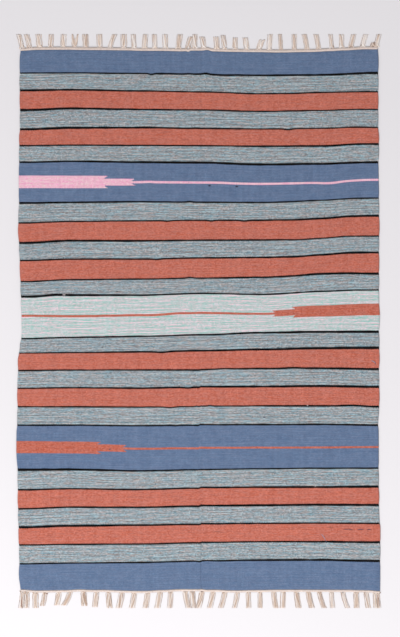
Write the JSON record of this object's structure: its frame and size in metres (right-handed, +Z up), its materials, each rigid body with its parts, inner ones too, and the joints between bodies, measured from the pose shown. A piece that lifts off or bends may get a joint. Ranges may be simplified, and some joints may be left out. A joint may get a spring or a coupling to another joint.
{
  "type": "kilim rug",
  "caption": "Flat-woven cotton rug lying flat, with stripes across it, thin dark lines between them, toothed bars and a fringe along both ends.",
  "frame": {"origin": "the middle of the rug's footprint, on the floor under it", "axes": "+Z up from the floor, +Y along the warp towards the end with the wider heading, +X across the rug to the right as seen from above"},
  "size_m": [1.2158, 1.916, 0.004],
  "materials": {
    "woven_cotton": "matte, weft-faced flatweave",
    "undyed_cotton": "matte, loosely twisted yarn"
  },
  "bodies": {
    "root": {"field": "woven_cotton", "fringe_top": "undyed_cotton", "fringe_bottom": "undyed_cotton"}
  },
  "joints": []
}
